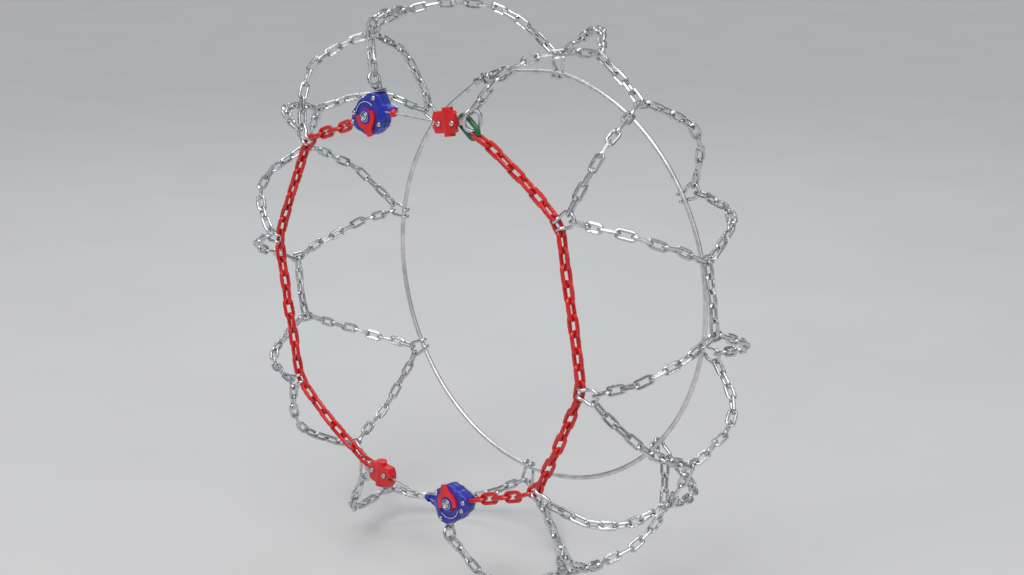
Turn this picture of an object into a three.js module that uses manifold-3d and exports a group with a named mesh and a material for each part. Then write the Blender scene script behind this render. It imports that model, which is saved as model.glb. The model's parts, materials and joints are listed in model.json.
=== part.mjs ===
// A pair-ratchet diamond-pattern tire chain in the shape it takes on a tire.
// Millimetres. Origin at the wheel centre, axle along Y, outboard side at -Y, +Z up.
import * as THREE from 'three';
import { mergeVertices } from 'three/addons/utils/BufferGeometryUtils.js';
import Module from 'manifold-3d';

const wasm = await Module();
wasm.setup();

// ---- the net -------------------------------------------------------------
const GAP = 0.3;
const TREAD_CHAIN_R = 395;
const SIDE_R = 289;
const SIDE_Y = 118;
const ARM_FOOT_R = 310.5;
// tread chain line over the tire's shoulder: distance from mid-plane, radius
const SHOULDER_LINE = [
  [0, TREAD_CHAIN_R], [45, 392.5], [82, 381],
  [100, 362], [112, 335], [SIDE_Y, ARM_FOOT_R],
];
// half of the ring; the other half is the same turned by 180 degrees
const SIDE_JUNCTIONS = [31.3, -9.6, -42.5];
const TREAD_NODES = [59.4, 46, 16.1, 2.6, -22.5, -33, -56, -69];
const SPLIT_ANGLE = 85;
const TREAD_CHAIN_HALF = 5.5;
const SIDE_CHAIN_HALF = 6;
const ARM_SPREAD = 7.8;

// ---- junction hooks ------------------------------------------------------
const HOOK_RING_R = 9.6;
const HOOK_WIRE_R = 2.2;
const HOOK_BAR_R = 2.8;
const HOOK_BAR_OFFSET = 13.6;
const HOOK_BAR_LENGTH = 25;
// where an arm ends outward of a hook's ring centre, or of a plain ring's
const HOOK_FOOT = 20;
const RING_FOOT = 13.5;
const LINK_RING_FOOT = 17.4;
const HOOP_CABLE_R = 3.2;
const CLIP_RING_R = 6.4;
const CLIP_WIRE_R = 2;

// ---- inboard hoop coupler ------------------------------------------------
const COUPLER_ANGLE = 110;
const COUPLER_PIVOT_X = -18;
const COUPLER_NECK_X = 16;
const BUTTON_R = 7;
const NECK_R = 2.6;

// ---- ratchets ------------------------------------------------------------
const RATCHET_R = 258;
const RATCHET_BACK_Y = 113;
const PLATE_T = 2;
const SPLIT_W = 11;
const FRONT_W = 19;
const CASE_R = 25;
const CAVITY_R = 17;
const CAVITY_TOP_W = 17.5;
const AXLE_R = 3;
const RIVET_R = 2;
const RIVETS = [[21, 19.8], [20, -14.5], [-22.5, 9.5], [-28.6, -1]];
const TAIL_U = -33;
const EYE_U = 20;
const EYE_V = [30.8, 36.2];
const EYE_HALF = 4.6;
const TAB_HALF = 7.8;
const TAB_V = [28.8, 39.6];
const TAB_W = [6, 8];
const RISER_V = [28.8, 30.4];
const EYE_LINK_V = 42.3;
const EYE_LINK_W = 10;
const DRUM_R = 8.1;
const WIND_R = 9.9;
const CABLE_R = 1.5;
const CABLE_W = 13.4;
const FLANGE_W = [15.4, 17.2];
const TOOTH_TIP_R = 15.5;
const TOOTH_ROOT_R = 13.2;
const TEETH = 16;
const TOOTH_FACE_ANGLE = -76.5;
const SPRING_W = [5, 10];
const SPRING_HUB_R = 4.4;
const PAWL_PIVOT = [-8, -17.5];
const PAWL_PIN_R = 1.3;
const PAWL_POCKET = [-4.8, -17];
const PAWL_POCKET_R = 5.6;
const LEVER_W = [FRONT_W + GAP, FRONT_W + GAP + 3.2];
const LEVER_RING_TOP_W = FRONT_W + GAP + 1.6;
const LEVER_R = 17.5;
const LEVER_TIP_R = 26.5;
const HUB_R = 9.6;
const HUB_W = [LEVER_RING_TOP_W + GAP, LEVER_RING_TOP_W + GAP + 2];
const NOSE_X = 40;

// ---- pull cables, hook and anchor ----------------------------------------
const FERRULE_X = 45.6;
const BALL_R = 5.2;
// the housings' own lengths, counted from where the cable ends at the crimp
const HOUSING_START = -2.5;
const HOUSING_LOWER_END = 28;
const HOUSING_UPPER_END = 38.5;
const HOUSING_W = [7.4, 19.2];
const HOUSING_HALF = 13.6;
const HOUSING_RIVETS = [[9.4, -1.5], [33.4, -1.5]];
const BARREL_X = 21.4;
const BARREL_R = 7.2;
const BARREL_LENGTH = 36;
// the crimp on the cable's end, which fills its bore
const CRIMP_X = [1, 7.5];
const TONGUE_W = [12.3, 14.5];
const PEG_X = 43.2;
const PEG_R = 2.4;
const ANCHOR_END_X = 44;
const ANCHOR_SLACK = 4.6;
const ANCHOR_HOOK_AT = 9;
const SIDE_CHAIN_STEPS = 44;
// between junctions a side chain runs almost straight: how far it bows past the chord
const SIDE_BOW = 3;
const ARM_STEPS = 5;
const LINK_TURN = -45.5;
const LINK_FROM_PEG = 11;
const LINK_HALF_LENGTH = 20.5;
const LINK_BAR_R = 3;
const LINK_BAR_OFFSET = 8.2;
const LINK_W = 8;
const LINK_RING_AT = [184.8, 10.2, 9.5];
const LINK_RING_R = 11;
const LINK_RING_WIRE_R = 2.4;
const LINK_RING_STRETCH = 1.18;

const SIDES = [
  { id: 1, turn: 0, angle: 107.5, cableAngle: -19.2, pullX: 126, tilt: 10 },
  { id: 2, turn: 180, angle: 285.4, cableAngle: -21.6, pullX: 116.5, tilt: 0 },
];

const group = new THREE.Group();
group.name = 'tire_snow_chain';

const FINISH = {
  steel: { color: 0xb9bdc1, roughness: 0.35, metalness: 1 },
  red: { color: 0xc41a1c, roughness: 0.42, metalness: 0 },
  blue: { color: 0x1b35a8, roughness: 0.4, metalness: 0 },
  green: { color: 0x1f6b3a, roughness: 0.4, metalness: 0 },
  spring: { color: 0x6d7075, roughness: 0.45, metalness: 1 },
  cable: { color: 0xd5d7da, roughness: 0.5, metalness: 0.6 },
};

// ---- helpers -------------------------------------------------------------
const radians = THREE.MathUtils.degToRad;

function polar(radius, degrees, y) {
  const a = radians(degrees);
  return new THREE.Vector3(radius * Math.cos(a), y, radius * Math.sin(a));
}

function signedVolume(positions, index) {
  const [a, b, c] = [new THREE.Vector3(), new THREE.Vector3(), new THREE.Vector3()];
  let volume = 0;
  for (let k = 0; k < index.length; k += 3) {
    a.fromArray(positions, 3 * index[k]);
    b.fromArray(positions, 3 * index[k + 1]);
    c.fromArray(positions, 3 * index[k + 2]);
    volume += a.dot(b.cross(c));
  }
  return volume;
}

// a closed geometry as a solid, its faces turned outward
function solid(geometry, matrix) {
  const bare = geometry.clone();
  if (matrix) bare.applyMatrix4(matrix);
  bare.deleteAttribute('normal');
  bare.deleteAttribute('uv');
  const merged = mergeVertices(bare, 1e-4);
  const vertProperties = new Float32Array(merged.attributes.position.array);
  const triVerts = new Uint32Array(merged.index.array);
  if (signedVolume(vertProperties, triVerts) < 0) {
    for (let k = 0; k < triVerts.length; k += 3) {
      [triVerts[k], triVerts[k + 1]] = [triVerts[k + 1], triVerts[k]];
    }
  }
  return new wasm.Manifold(new wasm.Mesh({ numProp: 3, vertProperties, triVerts }));
}

function join(first, ...rest) {
  return rest.reduce((whole, piece) => whole.add(piece), first);
}

function addPart(name, body, finish, matrix) {
  const { vertProperties, triVerts } = body.getMesh();
  const indexed = new THREE.BufferGeometry();
  indexed.setAttribute('position', new THREE.BufferAttribute(new Float32Array(vertProperties), 3));
  indexed.setIndex(new THREE.BufferAttribute(new Uint32Array(triVerts), 1));
  const geometry = indexed.toNonIndexed();
  if (matrix) geometry.applyMatrix4(matrix);
  geometry.computeVertexNormals();
  const mesh = new THREE.Mesh(geometry, new THREE.MeshStandardMaterial(FINISH[finish]));
  mesh.name = name;
  group.add(mesh);
}

function polygon(points) {
  return new THREE.Shape(points.map(([x, y]) => new THREE.Vector2(x, y)));
}

function regular(radius, sides) {
  const points = [];
  for (let k = 0; k < sides; k += 1) {
    const a = (2 * Math.PI * (k + 0.5)) / sides;
    points.push([radius * Math.cos(a), radius * Math.sin(a)]);
  }
  return points;
}

// a flat piece between two heights above the back face
function prism(points, [low, high]) {
  const shape = polygon(points);
  const geometry = new THREE.ExtrudeGeometry(shape, { depth: high - low, bevelEnabled: false });
  return solid(geometry.translate(0, 0, low));
}

function box(x, y, [low, high]) {
  return prism([[x[0], y[0]], [x[1], y[0]], [x[1], y[1]], [x[0], y[1]]], [low, high]);
}

function disc(radius, heights, [x, y] = [0, 0], sides = 20) {
  return prism(regular(radius, sides).map(([a, b]) => [a + x, b + y]), heights);
}

// a round bar between two points
function bar(start, end, radius, sides = 8) {
  const axis = new THREE.Vector3().subVectors(end, start);
  const geometry = new THREE.CylinderGeometry(radius, radius, axis.length(), sides);
  const turn = new THREE.Quaternion().setFromUnitVectors(
    new THREE.Vector3(0, 1, 0),
    axis.clone().normalize(),
  );
  const middle = new THREE.Vector3().addVectors(start, end).multiplyScalar(0.5);
  const matrix = new THREE.Matrix4().compose(middle, turn, new THREE.Vector3(1, 1, 1));
  return solid(geometry, matrix);
}

function tube(curve, radius, sides, steps) {
  const section = polygon(regular(radius, sides));
  const options = { steps, extrudePath: curve, bevelEnabled: false };
  return solid(new THREE.ExtrudeGeometry(section, options));
}

function smoothLine(points) {
  return new THREE.CatmullRomCurve3(points, false, 'centripetal');
}

// x along the rim toward smaller angles, y outward, z away from the wheel's mid-plane
function rimFrame(radius, degrees, y) {
  const a = radians(degrees);
  const along = new THREE.Vector3(Math.sin(a), 0, -Math.cos(a));
  const outward = new THREE.Vector3(Math.cos(a), 0, Math.sin(a));
  const away = new THREE.Vector3(0, Math.sign(y), 0);
  const first = along.multiplyScalar(-Math.sign(y));
  return new THREE.Matrix4().makeBasis(first, outward, away).setPosition(polar(radius, degrees, y));
}

function ratchetFrame(side) {
  return rimFrame(RATCHET_R, side.angle, -RATCHET_BACK_Y);
}

// from the ratchet's frame to the cable's: x along the cable, cable at y = 0
function cableTurn(side) {
  const turn = new THREE.Matrix4().makeRotationZ(radians(side.cableAngle));
  return turn.multiply(new THREE.Matrix4().makeTranslation(0, WIND_R, 0));
}

function cableFrame(side) {
  return ratchetFrame(side).multiply(cableTurn(side));
}

function turnedAt(frame, x, degrees) {
  const turn = new THREE.Matrix4().makeRotationZ(radians(degrees));
  return frame.multiply(new THREE.Matrix4().makeTranslation(x, 0, 0)).multiply(turn);
}

// from the cable's end: x along the housing
function housingFrame(side) {
  return turnedAt(cableFrame(side), side.pullX, side.tilt);
}

// the green link's own frame: x along it, its middle at the origin
function linkFrame() {
  const atPeg = turnedAt(housingFrame(SIDES[0]), PEG_X, LINK_TURN);
  return atPeg.multiply(new THREE.Matrix4().makeTranslation(LINK_FROM_PEG, 0, 0));
}

function ratchetPoint(side, x, y, w) {
  return new THREE.Vector3(x, y, w).applyMatrix4(ratchetFrame(side));
}

function cablePoint(side, x, y, w) {
  return new THREE.Vector3(x, y, w).applyMatrix4(cableFrame(side));
}

// a junction and the points of the nearly straight span that follows it
function spanPoints(turn, k) {
  const angle = SIDE_JUNCTIONS[k] + turn;
  const points = [polar(SIDE_R, angle, -SIDE_Y)];
  if (k + 1 < SIDE_JUNCTIONS.length) {
    const half = (SIDE_JUNCTIONS[k + 1] - SIDE_JUNCTIONS[k]) / 2;
    for (const share of [-0.6, 0.6]) {
      const radius = (SIDE_R * Math.cos(radians(half))) / Math.cos(radians(share * half));
      points.push(polar(radius + SIDE_BOW, angle + half + share * half, -SIDE_Y));
    }
  }
  return points;
}

// the outboard side chain from one cable's end to the next ratchet's tail
function sideLine(side) {
  const next = SIDES.find((other) => other !== side);
  const afterLink = new THREE.Vector3(LINK_HALF_LENGTH + 1.2, 0, LINK_W);
  const afterPlate = new THREE.Vector3(ANCHOR_END_X + ANCHOR_SLACK, 0, LINK_W);
  const start = side.id === 1
    ? [afterLink.applyMatrix4(linkFrame()), cablePoint(side, 211, -17, 7)]
    : [afterPlate.applyMatrix4(housingFrame(side)), cablePoint(side, 181, -3, 7)];
  return smoothLine([
    ...start,
    ...SIDE_JUNCTIONS.flatMap((_, k) => spanPoints(side.turn, k)),
    ratchetPoint(next, TAIL_U - 22, -3, 6),
    ratchetPoint(next, TAIL_U - 1.2, -1.8, 6.5),
  ]);
}

// on a side line: x along it, y outward, z away from the wheel's mid-plane
function frameOn(curve, distance) {
  const share = distance / curve.getLength();
  const along = curve.getTangentAt(share);
  const outward = new THREE.Vector3(0, -1, 0).cross(along).normalize();
  const away = new THREE.Vector3().crossVectors(along, outward);
  return new THREE.Matrix4().makeBasis(along, outward, away).setPosition(curve.getPointAt(share));
}

const anchorHookFrame = frameOn(sideLine(SIDES[1]), ANCHOR_HOOK_AT);

// ---- tread chains --------------------------------------------------------
function shoulderPoints(nodeAngle, footAngle, hand) {
  const points = [];
  SHOULDER_LINE.forEach(([y, radius], k) => {
    const share = k / (SHOULDER_LINE.length - 1);
    points.push(polar(radius, nodeAngle + share * (footAngle - nodeAngle), hand * y));
  });
  return points;
}

function arm(nodeAngle, junctionAngle, hand) {
  const away = Math.sign(nodeAngle - junctionAngle);
  const spread = THREE.MathUtils.radToDeg(ARM_SPREAD / ARM_FOOT_R);
  const points = shoulderPoints(nodeAngle, junctionAngle + away * spread, hand);
  return tube(smoothLine(points), TREAD_CHAIN_HALF, 6, ARM_STEPS);
}

function armTo(nodeAngle, foot) {
  const footAngle = THREE.MathUtils.radToDeg(Math.atan2(foot.z, foot.x));
  const nearest = footAngle + 360 * Math.round((nodeAngle - footAngle) / 360);
  const points = shoulderPoints(nodeAngle, nearest, -1).slice(0, -1);
  return tube(smoothLine([...points, foot]), TREAD_CHAIN_HALF, 6, ARM_STEPS);
}

function treadRun(from, to) {
  const points = [0, 0.5, 1].map((s) => polar(TREAD_CHAIN_R, from + s * (to - from), 0));
  return tube(smoothLine(points), TREAD_CHAIN_HALF, 6, 2);
}

for (const side of SIDES) {
  const turned = (angle) => angle + side.turn;
  const before = SIDES.find((other) => other !== side);
  const junctions = [SPLIT_ANGLE, ...SIDE_JUNCTIONS, SPLIT_ANGLE - 180];
  for (let k = 0; k < 4; k += 1) {
    const [near, far] = [turned(TREAD_NODES[2 * k]), turned(TREAD_NODES[2 * k + 1])];
    const [nearJoint, farJoint] = [turned(junctions[k]), turned(junctions[k + 1])];
    const nearFoot = side.id === 1
      ? cablePoint(side, LINK_RING_AT[0], LINK_RING_AT[1] + LINK_RING_FOOT, LINK_RING_AT[2])
      : new THREE.Vector3(0, HOOK_FOOT, 0).applyMatrix4(anchorHookFrame);
    const farFoot = ratchetPoint(before, EYE_U, EYE_LINK_V + RING_FOOT, EYE_LINK_W);
    const body = join(
      treadRun(near, far),
      k === 0 ? armTo(near, nearFoot) : arm(near, nearJoint, -1),
      k === 3 ? armTo(far, farFoot) : arm(far, farJoint, -1),
      arm(near, nearJoint, 1),
      arm(far, farJoint, 1),
    );
    addPart(`tread_chain_${4 * (side.id - 1) + k + 1}`, body, 'steel');
  }
}

// ---- junction hooks and inboard clips ------------------------------------
// a ring round the side line, with a cross bar outward that the arms hang on
function crossHook(ringRadius, wireRadius) {
  const ring = new THREE.TorusGeometry(ringRadius, wireRadius, 5, 11).rotateY(Math.PI / 2);
  const half = HOOK_BAR_LENGTH / 2;
  const web = box([-3, 3], [ringRadius, HOOK_BAR_OFFSET], [-1.8, 1.8]);
  const cross = bar(
    new THREE.Vector3(-half, HOOK_BAR_OFFSET, 0),
    new THREE.Vector3(half, HOOK_BAR_OFFSET, 0),
    HOOK_BAR_R,
    6,
  );
  return join(solid(ring), web, cross);
}

const sideHook = crossHook(HOOK_RING_R, HOOK_WIRE_R);
const hoopClip = crossHook(CLIP_RING_R, CLIP_WIRE_R);
for (const side of SIDES) {
  SIDE_JUNCTIONS.forEach((angle, k) => {
    const name = `side_hook_${3 * (side.id - 1) + k + 1}`;
    addPart(name, sideHook, 'steel', rimFrame(SIDE_R, angle + side.turn, -SIDE_Y));
  });
  [SPLIT_ANGLE, ...SIDE_JUNCTIONS].forEach((angle, k) => {
    const name = `hoop_clip_${4 * (side.id - 1) + k + 1}`;
    addPart(name, hoopClip, 'steel', rimFrame(SIDE_R, angle + side.turn, SIDE_Y));
  });
}

function plainRing(radius, wireRadius, sides = 12) {
  return new THREE.TorusGeometry(radius, wireRadius, 6, sides).rotateY(Math.PI / 2);
}

for (const side of SIDES) {
  const ring = plainRing(HOOK_RING_R, HOOK_WIRE_R).translate(EYE_U, EYE_LINK_V, EYE_LINK_W);
  addPart(`ratchet_${side.id}_eye_link`, solid(ring), 'steel', ratchetFrame(side));
}
const linkRing = plainRing(LINK_RING_R, LINK_RING_WIRE_R, 14)
  .scale(1, LINK_RING_STRETCH, 1)
  .translate(...LINK_RING_AT);
addPart('link_ring', solid(linkRing), 'steel', cableFrame(SIDES[0]));
addPart('anchor_hook', sideHook, 'steel', anchorHookFrame);

// ---- outboard side chains ------------------------------------------------
for (const side of SIDES) {
  const chain = tube(sideLine(side), SIDE_CHAIN_HALF, 8, SIDE_CHAIN_STEPS);
  addPart(`side_chain_${side.id}`, chain, 'red');
}

// ---- inboard cable hoop and its coupler ----------------------------------
const couplerFrame = rimFrame(SIDE_R, COUPLER_ANGLE, SIDE_Y);
const HOOP_OPEN_ANGLE = 14;
const HOOP_SPANS = 16;
const STRAP_W = [BUTTON_R + 0.4, BUTTON_R + 2.4];
const FORK_X = [COUPLER_NECK_X - 5.5, COUPLER_NECK_X - 2.5];

function couplerBar([from, to], radius, sides = 12) {
  return bar(new THREE.Vector3(from, 0, 0), new THREE.Vector3(to, 0, 0), radius, sides);
}

function hoopBody() {
  const inFrame = (x) => new THREE.Vector3(x, 0, 0).applyMatrix4(couplerFrame);
  const points = [inFrame(COUPLER_NECK_X + 12)];
  for (let k = 0; k <= HOOP_SPANS; k += 1) {
    const swept = (k * (360 - HOOP_OPEN_ANGLE)) / HOOP_SPANS;
    points.push(polar(SIDE_R, COUPLER_ANGLE + HOOP_OPEN_ANGLE / 2 + swept, SIDE_Y));
  }
  points.push(inFrame(COUPLER_PIVOT_X - 12));
  const cable = tube(smoothLine(points), HOOP_CABLE_R, 6, 36);
  const sleeve = HOOP_CABLE_R + 1.6;
  const buttonEnd = join(
    couplerBar([COUPLER_NECK_X - 15, COUPLER_NECK_X - 7], BUTTON_R, 20),
    couplerBar([COUPLER_NECK_X - 8, COUPLER_NECK_X + 4], NECK_R),
    couplerBar([COUPLER_NECK_X + 2, COUPLER_NECK_X + 18], sleeve),
  );
  const pivot = [COUPLER_PIVOT_X, 0];
  const pivotEnd = join(
    couplerBar([COUPLER_PIVOT_X - 18, COUPLER_PIVOT_X - 5], sleeve),
    box([COUPLER_PIVOT_X - 8, COUPLER_PIVOT_X + 5], [-5, 5], [-3, 3]),
    disc(NECK_R, [2, STRAP_W[1] + GAP + 1], pivot, 12),
    disc(4, [STRAP_W[1] + GAP, STRAP_W[1] + GAP + 1.5], pivot, 16),
  );
  const outOfFrame = couplerFrame.toArray();
  return join(cable, buttonEnd.transform(outOfFrame), pivotEnd.transform(outOfFrame));
}

addPart('hoop_cable', hoopBody(), 'steel');

const strap = join(
  box([COUPLER_PIVOT_X - 5, FORK_X[1]], [-8, 8], STRAP_W),
  box(FORK_X, [-8, 8], [-BUTTON_R, STRAP_W[1]]),
)
  .subtract(disc(NECK_R + GAP, [0, 12], [COUPLER_PIVOT_X, 0], 12))
  .subtract(box([FORK_X[0] - 1, FORK_X[1] + 1], [-3, 9], [-3, 3]));
addPart('hoop_strap', strap, 'steel', couplerFrame);

// ---- ratchets ------------------------------------------------------------
const THROUGH = [-1, 40];

function onCable(piece, side) {
  return piece.translate([0, WIND_R, 0]).rotate([0, 0, side.cableAngle]);
}

function shell(side, heights) {
  const wing = [[0, CASE_R], [12, 28.5], [29, 22], [33, 3], [24.5, -14], [19, -19.5], [0, -CASE_R]];
  const tail = [[-10, 20], [-26, 13.5], [TAIL_U, 4], [TAIL_U, -6], [-24, -14], [-10, -20]];
  const funnel = [[8, -17], [NOSE_X, -5.5], [NOSE_X, 5.5], [8, 13]];
  return join(
    disc(CASE_R, heights, [0, 0], 28),
    prism(wing, heights),
    prism(tail, heights),
    onCable(prism(funnel, heights), side),
  );
}

function drilled(body, places, radius) {
  return places.reduce((left, at) => left.subtract(disc(radius, THROUGH, at, 8)), body);
}

function bored(body) {
  return body.subtract(disc(AXLE_R + GAP, THROUGH, [0, 0], 16));
}

function backPlate(side) {
  const sheet = [0, PLATE_T];
  const headW = [FRONT_W + GAP, FRONT_W + GAP + 1.4];
  const tabU = [EYE_U - TAB_HALF, EYE_U + TAB_HALF];
  const foot = box(tabU, [15, RISER_V[1]], sheet);
  const riser = box(tabU, RISER_V, [0, TAB_W[1]]);
  const slot = box([EYE_U - EYE_HALF, EYE_U + EYE_HALF], EYE_V, THROUGH);
  const tab = box(tabU, TAB_V, TAB_W).subtract(slot);
  const rivets = RIVETS.map((at) => join(
    disc(RIVET_R, [PLATE_T / 2, FRONT_W + GAP + 1], at, 8),
    disc(3, headW, at, 10),
  ));
  return join(shell(side, sheet), foot, riser, tab, ...rivets);
}

function rearCase(side) {
  const body = shell(side, [PLATE_T + GAP, SPLIT_W])
    .subtract(disc(CAVITY_R - 1, [PLATE_T + 2, FRONT_W]))
    .subtract(disc(PAWL_PIN_R + GAP, [SPLIT_W - 4, FRONT_W], PAWL_PIVOT, 10));
  return drilled(bored(body), RIVETS, RIVET_R + GAP);
}

function frontCase(side) {
  const inside = [0, CAVITY_TOP_W];
  const channel = box([8, NOSE_X + 1], [-2, 2], [CABLE_W - 2, CABLE_W + 2]);
  const body = shell(side, [SPLIT_W + GAP, FRONT_W])
    .subtract(disc(CAVITY_R, inside, [0, 0], 28))
    .subtract(disc(PAWL_POCKET_R, inside, PAWL_POCKET, 16))
    .subtract(onCable(channel, side));
  return drilled(bored(body), RIVETS, RIVET_R + GAP);
}

function lever() {
  const underHub = [LEVER_W[0], LEVER_RING_TOP_W];
  const blade = join(
    disc(LEVER_R, LEVER_W).subtract(box([-20, 20], [5, 20], THROUGH)),
    prism([[-11, -9], [11, -9], [3.2, -LEVER_TIP_R], [-3.2, -LEVER_TIP_R]], LEVER_W),
  ).subtract(disc(HUB_R + 0.6, THROUGH));
  return join(blade, bored(disc(HUB_R + 1.2, underHub)));
}

function toothedDrum() {
  const outline = [];
  const pitch = (2 * Math.PI) / TEETH;
  for (let k = 0; k < TEETH; k += 1) {
    const face = radians(TOOTH_FACE_ANGLE) + k * pitch;
    outline.push([TOOTH_ROOT_R * Math.cos(face), TOOTH_ROOT_R * Math.sin(face)]);
    outline.push([TOOTH_TIP_R * Math.cos(face), TOOTH_TIP_R * Math.sin(face)]);
  }
  return bored(join(
    prism(outline, FLANGE_W),
    disc(DRUM_R, [SPLIT_W + 0.6, FLANGE_W[0] + 0.5], [0, 0], 20),
    disc(SPRING_HUB_R, [SPRING_W[0], SPLIT_W + 1], [0, 0], 16),
  ));
}

// a flat coil wound three times between the drum's hub and the case wall
function clockSpring() {
  const [turns, perTurn, inner, outer, half] = [3, 10, 5.8, 14.6, 0.45];
  const steps = turns * perTurn;
  const edge = (offset) => {
    const line = [];
    for (let k = 0; k <= steps; k += 1) {
      const a = (2 * Math.PI * k) / perTurn;
      const r = inner + ((outer - inner) * k) / steps + offset;
      line.push([r * Math.cos(a), r * Math.sin(a)]);
    }
    return line;
  };
  return prism([...edge(half), ...edge(-half).reverse()], SPRING_W);
}

function pawl() {
  const flat = [FLANGE_W[0] + GAP, FLANGE_W[1] - GAP];
  const finger = [
    [-8.4, -15.8], [-5, -16.3], [-2.4, -16.4], [0, -16.2], [2.9, -15.9],
    [2.4, -16.5], [0, -17.1], [-7.6, -19.4],
  ];
  return join(
    prism(finger, flat),
    disc(2, flat, PAWL_PIVOT, 12),
    disc(PAWL_PIN_R, [SPLIT_W - 3, flat[1]], PAWL_PIVOT, 10),
  );
}

// the turn of cable still on the drum
function winding(side) {
  const [start, end] = [118 + side.cableAngle, 410 + side.cableAngle];
  const points = [];
  for (let k = 0; k <= 12; k += 1) {
    const a = radians(start + ((end - start) * k) / 12);
    points.push(new THREE.Vector3(WIND_R * Math.cos(a), WIND_R * Math.sin(a), CABLE_W));
  }
  return tube(smoothLine(points), CABLE_R, 6, 14);
}

function cableSpan([from, to], radius, sides = 8) {
  return bar(new THREE.Vector3(from, 0, CABLE_W), new THREE.Vector3(to, 0, CABLE_W), radius, sides);
}

// a ball on the first ratchet's nose, a tapered sleeve on the second's
function ferrule(side) {
  const bore = cableSpan([NOSE_X, NOSE_X + 20], CABLE_R + GAP);
  if (side.id === 1) {
    const ball = new THREE.SphereGeometry(BALL_R, 10, 7).translate(FERRULE_X, 0, CABLE_W);
    return solid(ball).subtract(bore);
  }
  const cone = new THREE.CylinderGeometry(3.2, BALL_R, 8, 14).rotateZ(-Math.PI / 2);
  return solid(cone.translate(NOSE_X + GAP + 4, 0, CABLE_W)).subtract(bore);
}

for (const side of SIDES) {
  const frame = ratchetFrame(side);
  const name = `ratchet_${side.id}`;
  addPart(`${name}_backplate`, backPlate(side), 'steel', frame);
  addPart(`${name}_rear_case`, rearCase(side), 'blue', frame);
  addPart(`${name}_front_case`, frontCase(side), 'blue', frame);
  addPart(`${name}_drum`, toothedDrum(), 'steel', frame);
  addPart(`${name}_winding`, winding(side), 'cable', frame);
  addPart(`${name}_clock_spring`, clockSpring(), 'spring', frame);
  addPart(`${name}_pawl`, pawl(), 'steel', frame);
  addPart(`${name}_lever`, lever(), 'red', frame);
  addPart(`${name}_hub`, bored(disc(HUB_R, HUB_W)), 'blue', frame);
  const axle = join(
    disc(AXLE_R, [PLATE_T + GAP, HUB_W[1] + 1], [0, 0], 16),
    disc(4.6, [HUB_W[1] + GAP, HUB_W[1] + GAP + 1.5], [0, 0], 16),
  );
  addPart(`${name}_axle`, axle, 'steel', frame);
  addPart(`${name}_ferrule`, ferrule(side), side.id === 1 ? 'red' : 'blue', cableFrame(side));
  const cable = cableSpan([-CABLE_R, side.pullX - 2 * GAP], CABLE_R);
  addPart(`pull_cable_${side.id}`, cable, 'cable', cableFrame(side));
}

// ---- hook, anchor and release link ---------------------------------------
function housing() {
  const [half, chamfer, start] = [HOUSING_HALF, 4, HOUSING_START];
  const block = (end, heights) => prism([
    [start, -half + 2 * chamfer], [start + chamfer, -half],
    [end - chamfer, -half], [end, -half + chamfer],
    [end, half - chamfer], [end - chamfer, half],
    [start + chamfer, half], [start, half - 2 * chamfer],
  ], heights);
  const barrel = new THREE.CylinderGeometry(BARREL_R, BARREL_R, BARREL_LENGTH, 14);
  const slotW = [TONGUE_W[0] - GAP, TONGUE_W[1] + GAP];
  const mouthEnd = CRIMP_X[0] + 0.6;
  const body = join(
    block(HOUSING_LOWER_END, [HOUSING_W[0], TONGUE_W[0] + 1]),
    block(HOUSING_UPPER_END, [TONGUE_W[0] - 0.1, HOUSING_W[1]]),
    solid(barrel.translate(BARREL_X, 0, CABLE_W)),
  )
    .subtract(box([CRIMP_X[0] - 0.5, HOUSING_UPPER_END + 1], [-10.4, 10.4], slotW))
    .subtract(cableSpan([CRIMP_X[0] - 0.6, CRIMP_X[1] + 0.6], 4.4, 12))
    .subtract(box([start - 1, mouthEnd], [-2.4, 2.4], [CABLE_W - 2.2, HOUSING_W[1] + 1]));
  return drilled(body, HOUSING_RIVETS, RIVET_R + GAP);
}

// a steel plate with the cable's crimp and the rivets that hold the housing
function crimpedPlate(outline) {
  const [lowest, highest] = [HOUSING_W[0] - 0.8, HOUSING_W[1] + 0.8];
  const [outer, inner] = HOUSING_RIVETS;
  const throughRivet = join(
    disc(RIVET_R, [lowest - 0.5, highest + 0.5], outer, 10),
    disc(3.2, [highest, highest + 1.4], outer, 12),
    disc(3.2, [lowest - 1.4, lowest], outer, 12),
  );
  const topRivet = join(
    disc(RIVET_R, [TONGUE_W[0] + 0.5, highest + 0.5], inner, 10),
    disc(3.2, [highest, highest + 1.4], inner, 12),
  );
  return join(prism(outline, TONGUE_W), cableSpan(CRIMP_X, 4, 12), throughRivet, topRivet);
}

function tongueOutline(end) {
  const [start, shoulder, wide, narrow] = [CRIMP_X[0] + 1, HOUSING_UPPER_END - 4, 10, 5];
  return [
    [start, -wide], [shoulder, -wide], [shoulder + 5, -narrow], [end, -narrow],
    [end, narrow], [shoulder + 5, narrow], [shoulder, wide], [start, wide],
  ];
}

const [hookSide, anchorSide] = SIDES;
const hookTongue = join(
  crimpedPlate(tongueOutline(PEG_X + 4.4)),
  disc(PEG_R, [LINK_W - 3, TONGUE_W[0] + 0.5], [PEG_X, 0], 16),
);
addPart('hook_housing', housing(), 'red', housingFrame(hookSide));
addPart('hook_tongue', hookTongue, 'steel', housingFrame(hookSide));

const anchorPlate = crimpedPlate(tongueOutline(ANCHOR_END_X))
  .subtract(box([ANCHOR_END_X - 8, ANCHOR_END_X - 3.5], [-3, 3], THROUGH));
addPart('anchor_housing', housing(), 'red', housingFrame(anchorSide));
addPart('anchor_plate', anchorPlate, 'steel', housingFrame(anchorSide));

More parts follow.
